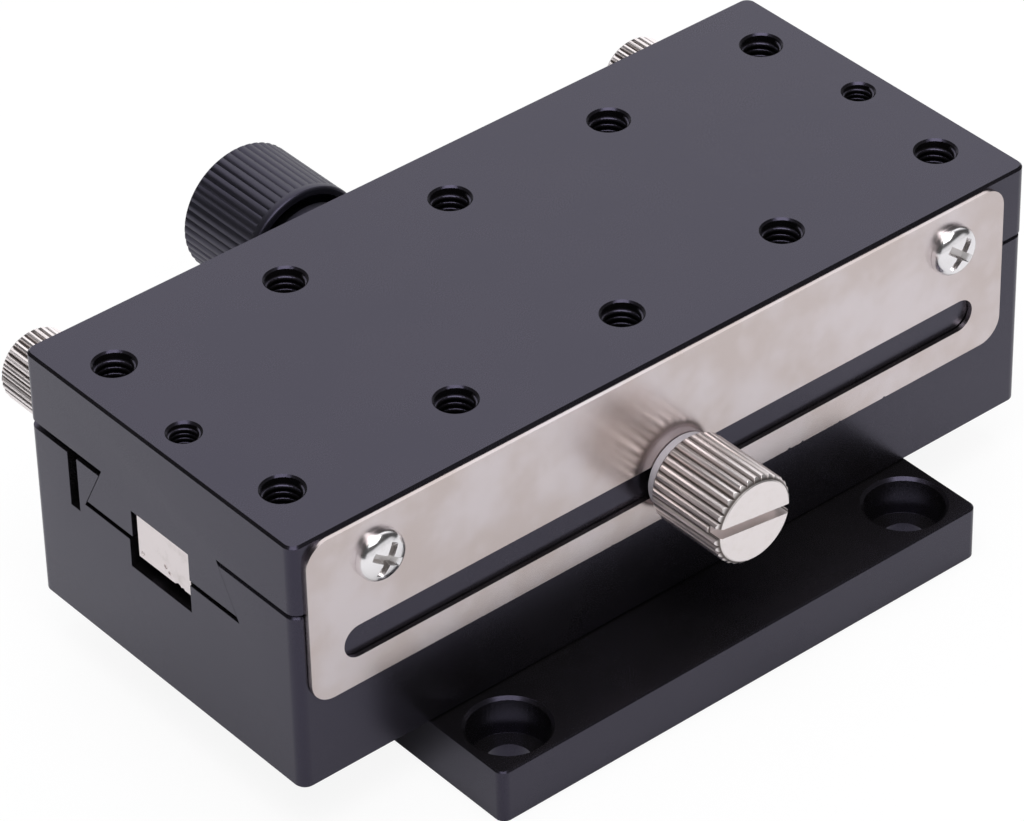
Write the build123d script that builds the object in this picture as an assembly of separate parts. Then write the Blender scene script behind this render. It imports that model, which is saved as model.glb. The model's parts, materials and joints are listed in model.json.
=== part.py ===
from build123d import *
import math
import os

# Manual linear stage: a dovetail table that a rack and pinion drives along X.
# All sizes are in millimetres. X is the travel, the clamp screw is on the -Y side,
# the drive knob on the +Y side, and Z = 0 is the underside of the mounting plate.

# Table and body, which end flush with each other
stage_length = 90.0
table_width = 40.0
table_thickness = 7.7
table_corner = 1.2
table_chamfer = 0.25
table_travel = 35.0

# Tapped holes in the table: two rows of M4, and one M3 hole near each end for the rack
grid_columns = 5
grid_end_margin = 5.0
grid_row_gap = 25.0
m4_tap_radius = 1.65
m4_mouth_radius = 2.2
rack_hole_margin = 3.5
m3_mouth_radius = 1.75
thread_core = 0.1

# Guide body
body_height = 20.0
body_corner = 1.2
body_chamfer = 0.25
parting_gap = 0.3
rear_jaw_step = 0.5
face_gap = 0.1

# Dovetail, and the spring gib that a saw cut leaves beside it
neck_width = 17.2
dovetail_depth = 5.0
flank_lean = 28.0
front_flank_gap = 0.02
rear_flank_gap = 0.08
floor_gap = 0.6
gib_web = 0.9
gib_slot_width = 1.4
gib_slot_drop = 1.3

# Mounting plate
plate_side = 60.0
plate_thickness = 6.0
plate_corner = 1.0
plate_chamfer = 0.15
mount_pitch = 50.0
mount_hole_radius = 2.25
counterbore_radius = 4.0
counterbore_depth = 4.2

# Rack and pinion
gear_module = 0.5
pinion_teeth = 18
pressure_angle = 20.0
mesh_gap = 0.03
backlash = 0.06
rack_width = 7.9
rack_height = 5.0
rack_end_gap = 0.2
rack_side_shift = 0.25
groove_width = 8.6
groove_depth = 3.0
channel_width = 9.1
channel_clearance = 1.75
pinion_face = 5.6
pinion_hub_length = 2.8
pinion_hub_radius = 3.7
pinion_end_gap = 0.3
pocket_clearance = 0.35
pinion_pin_radius = 0.75

# Shaft, bushes and collar
shaft_radius = 2.5
bush_radius = 3.5
bush_length = 5.0
running_fit = 0.03
seat_fit = 0.02
collar_radius = 5.7
collar_seat = 5.0
collar_reach = 15.6

# Drive knob
knob_radius = 7.2
knob_length = 11.0
knob_gap = 0.4
knob_edge = 0.3
knob_band = 1.2
knob_far_edge = 0.6
knob_rim = 0.8
knob_recess = 3.0
knob_hub_radius = 4.2
knob_web = 1.8
knob_groove_count = 48
knob_groove_depth = 0.3
washer_play = 0.05
thrust_washer_radius = 4.8

# Slotted plate on the front of the table
sheet_end_gap = 2.35
sheet_height = 17.95
sheet_thickness = 0.5
sheet_corner = 2.5
sheet_top_gap = 0.35
sheet_shift = -1.15
sheet_slot_margin = 3.8
sheet_slot_width = 3.55
sheet_slot_rise = 4.9
sheet_screw_margin = 7.5
sheet_screw_shift = 0.55
sheet_screw_drop = 4.35

# M3 hardware
m3_radius = 1.5
thread_fit = 0.05
grub_socket = 0.75
grub_socket_depth = 1.5
pan_head_radius = 2.6
pan_head_height = 1.6
pan_head_slope = 0.8
pan_screw_length = 5.0
cross_width = 0.75
cross_length = 2.9
cross_depth = 1.0
cap_head_radius = 2.75
cap_head_height = 2.6
cap_screw_grip = 5.0
cap_head_clearance = 0.15

# Clamp screw and washer
clamp_head_radius = 4.7
clamp_head_length = 9.5
clamp_groove_count = 32
clamp_washer_radius = 4.0
clamp_washer_thickness = 0.95
clamp_reach = 6.0
clamp_sag = 0.2
clamp_slot_width = 1.0
clamp_slot_depth = 1.5
clamp_slot_turn = -8.0
thumb_groove_depth = 0.35
thumb_front_edge = 0.25
thumb_back_edge = 0.6
contact_gap = 0.05

# Lock screws and set screws of the spring gib
lock_left_margin = 8.6
lock_right_margin = 5.7
lock_drop = 3.6
lock_head_radius = 4.0
lock_head_length = 10.8
lock_head_gap = 0.9
lock_groove_count = 30
gib_screw_x = 15.0
gib_screw_recess = 1.4

# Countersunk screws between the mounting plate and the body
m4_radius = 2.0
base_screw_x = 20.0
base_screw_y = 13.0
base_screw_length = 12.0
base_head_radius = 3.9
base_head_sunk = 0.2
base_socket = 1.4
base_socket_depth = 1.8

# Heights that follow from the sizes above
body_top = plate_thickness + body_height
rear_jaw_top = body_top - rear_jaw_step
table_bottom = body_top + parting_gap
table_top = table_bottom + table_thickness
dovetail_bottom = table_bottom - dovetail_depth
dovetail_floor = dovetail_bottom - floor_gap
groove_roof = dovetail_bottom + groove_depth
rack_tip = groove_roof - rack_height
channel_floor = rack_tip - channel_clearance

# Gear geometry
pitch_radius = gear_module * pinion_teeth / 2
tip_radius = pitch_radius + gear_module
root_radius = pitch_radius - 1.25 * gear_module
base_radius = pitch_radius * math.cos(math.radians(pressure_angle))
tooth_pitch = math.pi * gear_module
shaft_z = rack_tip + gear_module - pitch_radius - mesh_gap

# Faces along Y
front_face = -table_width / 2
rear_face = table_width / 2
body_front = front_face + face_gap
channel_front = -groove_width / 2
channel_rear = channel_front + channel_width
lean = math.tan(math.radians(flank_lean))
flank_cosine = math.cos(math.radians(flank_lean))
front_flank_shift = front_flank_gap / flank_cosine
rear_flank_shift = rear_flank_gap / flank_cosine
flank_foot = neck_width / 2 + (table_bottom - dovetail_floor) * lean
gib_slot_near = flank_foot + rear_flank_shift + gib_web
gib_slot_far = gib_slot_near + gib_slot_width
collar_start = rear_face - collar_seat
collar_end = rear_face + collar_reach
knob_near = collar_end + knob_gap
knob_far = knob_near + knob_length
pinion_front = channel_front + pinion_end_gap
pinion_rear = pinion_front + pinion_face + pinion_hub_length
front_bush_end = channel_front - bush_length

# Places of the table's holes
grid_pitch = (stage_length - 2 * grid_end_margin) / (grid_columns - 1)
rack_hole_x = stage_length / 2 - rack_hole_margin

# Places of the clamp and lock hardware
sheet_length = stage_length - 2 * sheet_end_gap
sheet_slot_length = sheet_length - 2 * sheet_slot_margin
sheet_screw_reach = sheet_length / 2 - sheet_screw_margin
sheet_screw_middle = sheet_shift + sheet_screw_shift
sheet_top = table_top - sheet_top_gap
sheet_bottom = sheet_top - sheet_height
sheet_face = front_face - sheet_thickness
sheet_slot_z = sheet_bottom + sheet_slot_rise
clamp_z = sheet_slot_z - clamp_sag
sheet_screw_z = sheet_top - sheet_screw_drop
washer_face = sheet_face - contact_gap - clamp_washer_thickness
clamp_back = washer_face - contact_gap
lock_left_x = lock_left_margin - stage_length / 2
lock_right_x = stage_length / 2 - lock_right_margin
lock_z = rear_jaw_top - lock_drop
lock_back = rear_face + lock_head_gap
gib_tip = gib_slot_near + contact_gap
overshoot = 1.0


def turned_y(points, x, z):
    """A turned shape about an axis along Y. Each point is (radius, y)."""
    face = make_face(Polyline(*points, close=True))
    return Pos(x, 0, z) * revolve(face, Axis.Y, 360)


def turned_z(points, x, y):
    """A turned shape about an axis along Z. Each point is (radius, z)."""
    face = make_face(Plane.XZ * Polyline(*points, close=True))
    return Pos(x, y, 0) * revolve(face, Axis.Z, 360)


def rod_y(radius, start, end, x, z):
    """A plain round bar along Y."""
    return turned_y([(0, start), (radius, start), (radius, end), (0, end)], x, z)


def rod_z(radius, start, end, x, y):
    """A plain round bar along Z."""
    return turned_z([(0, start), (radius, start), (radius, end), (0, end)], x, y)


def tube_y(inner, outer, start, end, z):
    """A plain bush about the pinion's axis."""
    return turned_y([(inner, start), (outer, start), (outer, end), (inner, end)], 0, z)


def section_bar(points, length):
    """A bar of one section along X. Each point is (y, z)."""
    face = make_face(Plane.YZ * Polyline(*points, close=True))
    return extrude(face, amount=length / 2, both=True)


def tapped_hole_z(thread_radius, mouth_radius, bottom, x, y):
    """Cutter for a tapped hole that opens at the table's top with a countersunk mouth."""
    mouth = mouth_radius - thread_radius
    outline = [
        (0, bottom),
        (thread_radius, bottom),
        (thread_radius, table_top - mouth),
        (mouth_radius + overshoot, table_top + overshoot),
        (0, table_top + overshoot),
    ]
    return turned_z(outline, x, y)


def knurl_outline(radius, depth, count):
    """Outline of a straight knurl: a crest on the radius and a V groove, count times."""
    step = 2 * math.pi / count
    points = []
    for number in range(count):
        for share, reach in ((0.0, radius), (0.45, radius), (0.725, radius - depth)):
            angle = (number + share) * step
            points.append((reach * math.cos(angle), reach * math.sin(angle)))
    return points


def knurled_head(radius, depth, count, start, end, start_edge, end_edge, x, z):
    """A head along Y with a straight knurl between the chamfers at its two ends."""
    low = start + start_edge
    high = end - end_edge
    plane = Plane(origin=(x, low, z), x_dir=(1, 0, 0), z_dir=(0, 1, 0))
    face = make_face(plane * Polyline(*knurl_outline(radius, depth, count), close=True))
    knurl = extrude(face, amount=high - low, dir=(0, 1, 0))
    near = turned_y([(0, start), (radius - start_edge, start), (radius, low), (0, low)], x, z)
    far = turned_y([(0, high), (radius, high), (radius - end_edge, end), (0, end)], x, z)
    return near + knurl + far


def hex_socket(depth, x, y, z, direction):
    """Cutter for a hexagon socket that goes in along direction from (x, y, z)."""
    face = Plane(origin=(x, y, z), z_dir=direction) * RegularPolygon(grub_socket, 6)
    return extrude(face, amount=depth)


def make_mounting_plate():
    """Square plate with counterbored corner holes and countersinks for the base screws."""
    block = extrude(RectangleRounded(plate_side, plate_side, plate_corner), plate_thickness)
    rims = block.faces().sort_by(Axis.Z)
    block = chamfer(rims[-1].edges() + rims[0].edges(), plate_chamfer)
    seat = plate_thickness - counterbore_depth
    bore = [
        (0, -overshoot),
        (mount_hole_radius, -overshoot),
        (mount_hole_radius, seat),
        (counterbore_radius, seat),
        (counterbore_radius, plate_thickness + overshoot),
        (0, plate_thickness + overshoot),
    ]
    for x in (-mount_pitch / 2, mount_pitch / 2):
        for y in (-mount_pitch / 2, mount_pitch / 2):
            block -= turned_z(bore, x, y)
    for x, y in base_screw_places():
        block -= turned_z(countersunk_outline(seat_fit, -overshoot, plate_thickness + overshoot), x, y)
    return block


def base_screw_places():
    """Where the countersunk screws stand, one in each quarter of the plate."""
    return [(sx * base_screw_x, sy * base_screw_y) for sx in (-1, 1) for sy in (-1, 1)]


def countersunk_outline(gap, start, end):
    """Outline of a countersunk screw from below, grown by gap, between two heights."""
    reach = base_head_radius + base_head_sunk + gap
    shank = m4_radius + gap
    return [(0, start), (reach - start, start), (shank, reach - shank), (shank, end), (0, end)]


def make_base_screws():
    """Four countersunk screws with hexagon sockets, through the plate and into the body."""
    screws = []
    for x, y in base_screw_places():
        screw = turned_z(countersunk_outline(0, base_head_sunk, base_screw_length), x, y)
        socket = Plane(origin=(x, y, 0), z_dir=(0, 0, 1)) * RegularPolygon(base_socket, 6)
        screws.append(screw - extrude(socket, amount=base_socket_depth))
    return Compound(screws)


def make_guide_body():
    """Body with the female dovetail, the spring gib, the rack channel and the shaft bores."""
    front_lip = neck_width / 2 + (table_bottom - body_top) * lean + front_flank_shift
    rear_lip = neck_width / 2 + (table_bottom - rear_jaw_top) * lean + rear_flank_shift
    section = [
        (rear_face, plate_thickness),
        (rear_face, rear_jaw_top),
        (gib_slot_far, rear_jaw_top),
        (gib_slot_far, dovetail_floor - gib_slot_drop),
        (gib_slot_near, dovetail_floor - gib_slot_drop),
        (gib_slot_near, rear_jaw_top),
        (rear_lip, rear_jaw_top),
        (flank_foot + rear_flank_shift, dovetail_floor),
        (channel_rear, dovetail_floor),
        (channel_rear, channel_floor),
        (channel_front, channel_floor),
        (channel_front, dovetail_floor),
        (-flank_foot - front_flank_shift, dovetail_floor),
        (-front_lip, body_top),
        (body_front, body_top),
        (body_front, plate_thickness),
    ]
    middle = (rear_face + body_front) / 2
    outline = Pos(0, middle, plate_thickness) * RectangleRounded(stage_length, rear_face - body_front, body_corner)
    block = extrude(outline, body_height)
    rims = block.faces().sort_by(Axis.Z)
    block = chamfer(rims[-1].edges() + rims[0].edges(), body_chamfer)
    body = section_bar(section, stage_length + overshoot) & block
    body -= pinion_pocket()
    body -= rod_y(bush_radius + seat_fit, front_bush_end - seat_fit, collar_start + overshoot, 0, shaft_z)
    body -= rod_y(collar_radius + seat_fit, collar_start, rear_face + overshoot, 0, shaft_z)
    body -= rod_z(m3_radius + thread_fit, plate_thickness - overshoot, shaft_z, 0, collar_screw_y())
    clamp_hole_end = body_front + clamp_reach + contact_gap + thread_core
    body -= rod_y(m3_radius + thread_fit, body_front - overshoot, clamp_hole_end, 0, clamp_z)
    for x in (lock_left_x, -gib_screw_x, gib_screw_x, lock_right_x):
        body -= rod_y(m3_radius + thread_fit, gib_slot_near + contact_gap, rear_face + overshoot, x, lock_z)
    for x, y in base_screw_places():
        end = base_screw_length + thread_core
        body -= rod_z(m4_radius + seat_fit, plate_thickness - overshoot, end, x, y)
    return body


def pinion_pocket():
    """Cutter for the round-ended pocket, as wide as the rack channel, that the pinion turns in."""
    reach = tip_radius + pocket_clearance
    mill = channel_width / 2
    floor = shaft_z - reach
    outline = SlotOverall(2 * (reach + mill), channel_width)
    place = Pos(0, channel_front + mill, floor)
    return place * extrude(outline, channel_floor - floor + overshoot / 2)


def collar_screw_y():
    """The grub screw meets the collar at the middle of its seat."""
    return rear_face - collar_seat / 2


def make_sliding_table():
    """Table with its male dovetail, rack groove and tapped holes."""
    outline = Pos(0, 0, table_bottom) * RectangleRounded(stage_length, table_width, table_corner)
    slab = extrude(outline, table_thickness)
    slab = chamfer(slab.faces().sort_by(Axis.Z)[-1].edges(), table_chamfer)
    foot = neck_width / 2 + dovetail_depth * lean
    section = [
        (-neck_width / 2, table_bottom),
        (-foot, dovetail_bottom),
        (-groove_width / 2, dovetail_bottom),
        (-groove_width / 2, groove_roof),
        (groove_width / 2, groove_roof),
        (groove_width / 2, dovetail_bottom),
        (foot, dovetail_bottom),
        (neck_width / 2, table_bottom),
        (neck_width / 2, table_bottom + overshoot),
        (-neck_width / 2, table_bottom + overshoot),
    ]
    table = slab + section_bar(section, stage_length)
    table -= Pos(0, 0, groove_roof - overshoot) * extrude(Rectangle(stage_length + overshoot, groove_width), overshoot)
    for column in range(grid_columns):
        x = (column - (grid_columns - 1) / 2) * grid_pitch
        for y in (-grid_row_gap / 2, grid_row_gap / 2):
            table -= tapped_hole_z(m4_tap_radius, m4_mouth_radius, table_bottom - overshoot, x, y)
    for x in (-rack_hole_x, rack_hole_x):
        table -= tapped_hole_z(m3_radius + seat_fit, m3_mouth_radius, groove_roof - overshoot, x, 0)
    for x in sheet_screw_places():
        end = front_face + pan_screw_length - sheet_thickness + thread_core
        table -= rod_y(m3_radius + seat_fit, front_face - overshoot, end, x, sheet_screw_z)
    return table


def sheet_screw_places():
    """Where the two screws of the slotted plate stand along X."""
    return (sheet_screw_middle - sheet_screw_reach, sheet_screw_middle + sheet_screw_reach)


def rack_seat():
    """Height of the shoulder that the rack screws' heads pull against."""
    return rack_tip + cap_head_height + cap_head_clearance


def make_gear_rack():
    """Rack with its teeth downwards; a tooth space lies over the pinion's axis."""
    half = tooth_pitch / 4 - backlash / 2
    slope = math.tan(math.radians(pressure_angle))
    tip_half = half - gear_module * slope
    root_half = half + 1.25 * gear_module * slope
    root = rack_tip + 2.25 * gear_module
    count = math.ceil(stage_length / tooth_pitch / 2) + 1
    points = []
    for number in range(-count, count):
        centre = (number + 0.5) * tooth_pitch
        points.append((centre - root_half, root))
        points.append((centre - tip_half, rack_tip))
        points.append((centre + tip_half, rack_tip))
        points.append((centre + root_half, root))
    points.append((points[-1][0], groove_roof))
    points.append((points[0][0], groove_roof))
    face = make_face(Plane.XZ * Polyline(*points, close=True))
    bar = Pos(0, -rack_side_shift, 0) * extrude(face, amount=rack_width / 2, both=True)
    blank = Box(stage_length - 2 * rack_end_gap, table_width, 4 * rack_height)
    rack = bar & (Pos(0, 0, groove_roof) * blank)
    for x in (-rack_hole_x, rack_hole_x):
        rack -= rod_z(m3_radius + cap_head_clearance, rack_tip, groove_roof + overshoot, x, 0)
        rack -= rod_z(cap_head_radius + cap_head_clearance, rack_tip - overshoot, rack_seat(), x, 0)
    return rack


def make_rack_screws():
    """Two cap screws that pull the rack up into its groove."""
    screws = []
    head = rack_seat() - cap_head_height
    for x in (-rack_hole_x, rack_hole_x):
        outline = [
            (0, head),
            (cap_head_radius, head),
            (cap_head_radius, rack_seat()),
            (m3_radius, rack_seat()),
            (m3_radius, groove_roof + cap_screw_grip),
            (0, groove_roof + cap_screw_grip),
        ]
        screws.append(turned_z(outline, x, 0) - hex_socket(grub_socket_depth, x, 0, head, (0, 0, 1)))
    return Compound(screws)


def involute(radius):
    """Polar angle of the involute where it reaches this radius."""
    roll = math.sqrt(max((radius / base_radius) ** 2 - 1, 0.0))
    return roll - math.atan(roll)


def make_pinion():
    """Spur pinion with involute flanks, one tooth straight up, and a hub on the knob's side."""
    half_tooth = math.pi / (2 * pinion_teeth) - backlash / 2 / pitch_radius + involute(pitch_radius)
    flank = [(root_radius, half_tooth)]
    for radius in (base_radius, pitch_radius, tip_radius):
        flank.append((radius, half_tooth - involute(radius)))
    points = []
    for number in range(pinion_teeth):
        middle = 2 * math.pi * number / pinion_teeth
        for radius, angle in flank:
            points.append((radius * math.sin(middle - angle), radius * math.cos(middle - angle)))
        for radius, angle in reversed(flank):
            points.append((radius * math.sin(middle + angle), radius * math.cos(middle + angle)))
    plane = Plane(origin=(0, pinion_front, shaft_z), x_dir=(1, 0, 0), z_dir=(0, -1, 0))
    teeth = extrude(plane * make_face(Polyline(*points, close=True)), amount=-pinion_face)
    hub_start = pinion_front + pinion_face
    gear = teeth + rod_y(pinion_hub_radius, hub_start, pinion_rear, 0, shaft_z)
    gear -= rod_y(shaft_radius + seat_fit, pinion_front - overshoot, pinion_rear + overshoot, 0, shaft_z)
    return gear - pin_bore(pinion_hub_radius + overshoot)


def pin_bore(reach):
    """Cutter for the cross pin's hole, to reach above and below the axis."""
    radius = pinion_pin_radius + seat_fit
    return rod_z(radius, shaft_z - reach, shaft_z + reach, 0, pin_y())


def pin_y():
    """The cross pin stands in the middle of the pinion's hub."""
    return pinion_rear - pinion_hub_length / 2


def make_pinion_pin():
    """Cross pin, a little shorter than the hub is wide."""
    reach = pinion_hub_radius - contact_gap
    return rod_z(pinion_pin_radius, shaft_z - reach, shaft_z + reach, 0, pin_y())


def make_pinion_shaft():
    """Plain shaft from the front bush into the knob, cross-drilled for the pinion's pin."""
    shaft = rod_y(shaft_radius, front_bush_end + contact_gap, shaft_end(), 0, shaft_z)
    return shaft - pin_bore(shaft_radius + overshoot)


def shaft_end():
    """The shaft ends behind the knob's closed outer face."""
    return knob_far - knob_web - contact_gap


def make_bush(start):
    """Plain bush that runs on the shaft, with its near end at start."""
    end = start + bush_length
    return tube_y(shaft_radius + running_fit, bush_radius, start, end, shaft_z)


def make_bearing_collar():
    """Sleeve pressed into the body's rear face, with the outer bush in its end."""
    clearance = shaft_radius + 4 * running_fit
    bush_start = collar_end - bush_length
    outline = [
        (clearance, collar_start + seat_fit),
        (collar_radius, collar_start + seat_fit),
        (collar_radius, collar_end),
        (bush_radius + seat_fit, collar_end),
        (bush_radius + seat_fit, bush_start - seat_fit),
        (clearance, bush_start - seat_fit),
    ]
    return turned_y(outline, 0, shaft_z)


def make_collar_set_screw():
    """Grub screw from below that holds the collar; its socket faces down."""
    top = shaft_z - collar_radius - seat_fit
    screw = rod_z(m3_radius, plate_thickness + contact_gap, top, 0, collar_screw_y())
    return screw - hex_socket(grub_socket_depth, 0, collar_screw_y(), plate_thickness, (0, 0, 1))


def make_thrust_washer():
    """Thin washer between the collar and the knob's hub."""
    start = collar_end + washer_play
    return tube_y(shaft_radius + 2 * running_fit, thrust_washer_radius, start, knob_near - washer_play, shaft_z)


def make_drive_knob():
    """Cup-shaped knurled knob with a hub inside, open towards the body."""
    depth = knob_groove_depth
    count = knob_groove_count
    knob = knurled_head(knob_radius, depth, count, knob_near, knob_far, knob_edge, knob_far_edge, 0, shaft_z)
    knob += rod_y(knob_radius, knob_near + knob_edge, knob_near + knob_band, 0, shaft_z)
    mouth = knob_near - overshoot
    knob -= tube_y(knob_hub_radius, knob_radius - knob_rim, mouth, knob_near + knob_recess, shaft_z)
    knob -= rod_y(shaft_radius + seat_fit, mouth, shaft_end(), 0, shaft_z)
    low = shaft_z - knob_radius - overshoot
    return knob - rod_z(m3_radius + seat_fit, low, shaft_z - shaft_radius, 0, knob_screw_y())


def knob_screw_y():
    """The knob's grub screw stands in the middle of its solid part."""
    return (knob_near + knob_recess + knob_far - knob_web) / 2


def make_knob_set_screw():
    """Grub screw that holds the knob on its shaft; its socket faces out."""
    end = shaft_z - knob_radius + 2 * knob_groove_depth
    screw = rod_z(m3_radius, end, shaft_z - shaft_radius - contact_gap, 0, knob_screw_y())
    return screw - hex_socket(grub_socket_depth, 0, knob_screw_y(), end, (0, 0, 1))


def make_slotted_plate():
    """Stainless plate that hangs on the table's front, with the slot for the clamp screw."""
    middle = (sheet_top + sheet_bottom) / 2
    sheet = Pos(sheet_shift, middle) * RectangleRounded(sheet_length, sheet_height, sheet_corner)
    sheet -= Pos(sheet_shift, sheet_slot_z) * SlotOverall(sheet_slot_length, sheet_slot_width)
    for x in sheet_screw_places():
        sheet -= Pos(x, sheet_screw_z) * Circle(m3_radius + 2 * thread_fit)
    return extrude(Plane.XZ.offset(-front_face) * sheet, sheet_thickness)


def make_plate_screws():
    """Two pan-head screws with cross recesses."""
    screws = []
    face = sheet_face - pan_head_height
    tip = sheet_face + pan_screw_length
    for x in sheet_screw_places():
        outline = [
            (0, face),
            (pan_head_radius - pan_head_slope, face),
            (pan_head_radius, sheet_face),
            (m3_radius, sheet_face),
            (m3_radius, tip),
            (0, tip),
        ]
        screw = turned_y(outline, x, sheet_screw_z)
        cross = Rectangle(cross_length, cross_width) + Rectangle(cross_width, cross_length)
        recess = Plane(origin=(x, face, sheet_screw_z), z_dir=(0, 1, 0)) * cross
        screws.append(screw - extrude(recess, amount=cross_depth))
    return Compound(screws)


def make_clamp_screw():
    """Knurled thumb screw with a screwdriver slot; it turns in the body and pinches the plate."""
    end = clamp_back - clamp_head_length
    depth = thumb_groove_depth
    count = clamp_groove_count
    head = knurled_head(
        clamp_head_radius, depth, count, end, clamp_back, thumb_front_edge, thumb_back_edge, 0, clamp_z
    )
    cut = Box(4 * clamp_head_radius, 2 * clamp_slot_depth, clamp_slot_width)
    slot = Pos(0, end, clamp_z) * Rot(0, -clamp_slot_turn, 0) * cut
    stud = rod_y(m3_radius, clamp_back - overshoot, body_front + clamp_reach, 0, clamp_z)
    return head - slot + stud


def make_clamp_washer():
    """Plain washer between the clamp screw and the slotted plate."""
    inner = m3_radius + 2 * thread_fit
    end = washer_face + clamp_washer_thickness
    return tube_y(inner, clamp_washer_radius, washer_face, end, clamp_z)


def make_lock_screw(x):
    """Knurled thumb screw at the rear; its tip bears on the spring gib."""
    end = lock_back + lock_head_length
    depth = thumb_groove_depth
    count = lock_groove_count
    head = knurled_head(
        lock_head_radius, depth, count, lock_back, end, thumb_back_edge, thumb_front_edge, x, lock_z
    )
    return head + rod_y(m3_radius, gib_tip, lock_back + overshoot, x, lock_z)


def make_gib_set_screws():
    """Two grub screws that set the spring gib, sockets towards the rear."""
    screws = []
    end = rear_face - gib_screw_recess
    for x in (-gib_screw_x, gib_screw_x):
        screw = rod_y(m3_radius, gib_tip, end, x, lock_z)
        screws.append(screw - hex_socket(grub_socket_depth, x, end, lock_z, (0, -1, 0)))
    return Compound(screws)


def main():
    pieces = {
        "mounting_plate": make_mounting_plate(),
        "base_screws": make_base_screws(),
        "guide_body": make_guide_body(),
        "sliding_table": make_sliding_table(),
        "gear_rack": make_gear_rack(),
        "rack_screws": make_rack_screws(),
        "pinion": make_pinion(),
        "pinion_pin": make_pinion_pin(),
        "pinion_shaft": make_pinion_shaft(),
        "front_bush": make_bush(front_bush_end),
        "rear_bush": make_bush(channel_rear),
        "collar_bush": make_bush(collar_end - bush_length),
        "bearing_collar": make_bearing_collar(),
        "collar_set_screw": make_collar_set_screw(),
        "thrust_washer": make_thrust_washer(),
        "drive_knob": make_drive_knob(),
        "knob_set_screw": make_knob_set_screw(),
        "slotted_plate": make_slotted_plate(),
        "plate_screws": make_plate_screws(),
        "clamp_screw": make_clamp_screw(),
        "clamp_washer": make_clamp_washer(),
        "lock_screw_left": make_lock_screw(lock_left_x),
        "lock_screw_right": make_lock_screw(lock_right_x),
        "gib_set_screws": make_gib_set_screws(),
    }
    os.makedirs("parts", exist_ok=True)
    for name, piece in pieces.items():
        export_step(piece, f"parts/{name}.step")
    print("pieces", len(pieces), "shaft height", round(shaft_z, 3), "clamp height", round(clamp_z, 3))


main()
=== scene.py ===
# %% [markdown]
# # A manual linear stage
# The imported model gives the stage's true solids: a dovetail table, its body, a rack and
# pinion drive and the screws that clamp it. This lesson dresses those solids, so that the
# black anodised blocks, the stainless sheet and the nickel-plated thumb screws look real.
# Everything is in metres and stands where the solids stand.

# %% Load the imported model
import json
import math

import bmesh
import bpy
from mathutils import Matrix, Vector


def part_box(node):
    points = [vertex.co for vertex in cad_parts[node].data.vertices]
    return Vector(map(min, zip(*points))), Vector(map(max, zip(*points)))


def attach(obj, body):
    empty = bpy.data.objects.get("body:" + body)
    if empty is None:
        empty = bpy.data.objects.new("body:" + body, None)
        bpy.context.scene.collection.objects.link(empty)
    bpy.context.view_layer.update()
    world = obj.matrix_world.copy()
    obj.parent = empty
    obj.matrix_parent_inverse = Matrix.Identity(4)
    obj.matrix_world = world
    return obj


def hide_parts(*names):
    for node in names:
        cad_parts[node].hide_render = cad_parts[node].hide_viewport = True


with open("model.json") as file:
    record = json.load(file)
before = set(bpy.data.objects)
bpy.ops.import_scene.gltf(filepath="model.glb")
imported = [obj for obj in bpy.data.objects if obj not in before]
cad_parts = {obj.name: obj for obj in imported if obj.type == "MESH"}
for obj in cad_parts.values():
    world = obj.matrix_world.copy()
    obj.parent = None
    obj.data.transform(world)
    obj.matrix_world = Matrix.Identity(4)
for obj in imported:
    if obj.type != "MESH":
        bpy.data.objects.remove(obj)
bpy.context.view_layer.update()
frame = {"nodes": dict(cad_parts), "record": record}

mm = 0.001
touching = 0.001 * mm

# %% [markdown]
# An operator works on whatever is selected, so each step first selects its own piece and
# nothing else. These helpers do that, and they are all the steps need: select, apply a
# modifier, cut one piece with another, break its edges, and hand a finished piece to its
# body.

# %% Helpers for selecting, cutting and handing over
def only(*pieces):
    """Select these pieces and nothing else."""
    bpy.ops.object.select_all(action="DESELECT")
    for piece in pieces:
        piece.select_set(True)
    bpy.context.view_layer.objects.active = pieces[0]


def enter(piece, kind="VERT", action="SELECT"):
    """Go into edit mode on one piece, with all of its points or faces selected, or none."""
    only(piece)
    bpy.ops.object.mode_set(mode="EDIT")
    bpy.ops.mesh.select_mode(type=kind)
    bpy.ops.mesh.select_all(action=action)


def leave():
    """Leave edit mode."""
    bpy.ops.object.mode_set(mode="OBJECT")


def modify(piece, kind, **settings):
    """Add one modifier, set it and apply it."""
    only(piece)
    modifier = piece.modifiers.new(kind.title(), kind)
    for name, value in settings.items():
        setattr(modifier, name, value)
    bpy.ops.object.modifier_apply(modifier=modifier.name)
    return piece


def cut(piece, cutter, operation="DIFFERENCE"):
    """Combine a piece with a cutter, which is used up."""
    modify(piece, "BOOLEAN", object=cutter, operation=operation, solver="EXACT")
    bpy.data.objects.remove(cutter)
    return piece


def volume(piece):
    """A piece's volume in cubic millimetres and its open edges, to see what a cut did to it."""
    mesh = bmesh.new()
    mesh.from_mesh(piece.data)
    size = mesh.calc_volume(signed=True)
    open_edges = sum(not edge.is_manifold for edge in mesh.edges)
    mesh.free()
    return round(size / mm**3, 2), open_edges


beside_stage = (0.0713, 0.1937, 0.0461)


def weld(piece, gap):
    """Join points closer than a gap, which a cut leaves where edges nearly meet.

    The Bevel modifier narrows a whole piece's bevels to suit its shortest edge, so one such
    pair of points would leave every edge of the piece sharp. A cut numbers its points in a
    new order each run, and the first of a pair is the one that stays. So they are numbered
    by their distance from a place beside the stage, and the result is the same each run.
    """
    enter(piece)
    bpy.context.scene.cursor.location = beside_stage
    bpy.ops.mesh.sort_elements(type="CURSOR_DISTANCE", elements={"VERT", "EDGE", "FACE"})
    bpy.context.scene.cursor.location = (0, 0, 0)
    bpy.ops.mesh.remove_doubles(threshold=gap)
    bpy.ops.mesh.dissolve_degenerate(threshold=gap)
    leave()
    return piece


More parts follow.
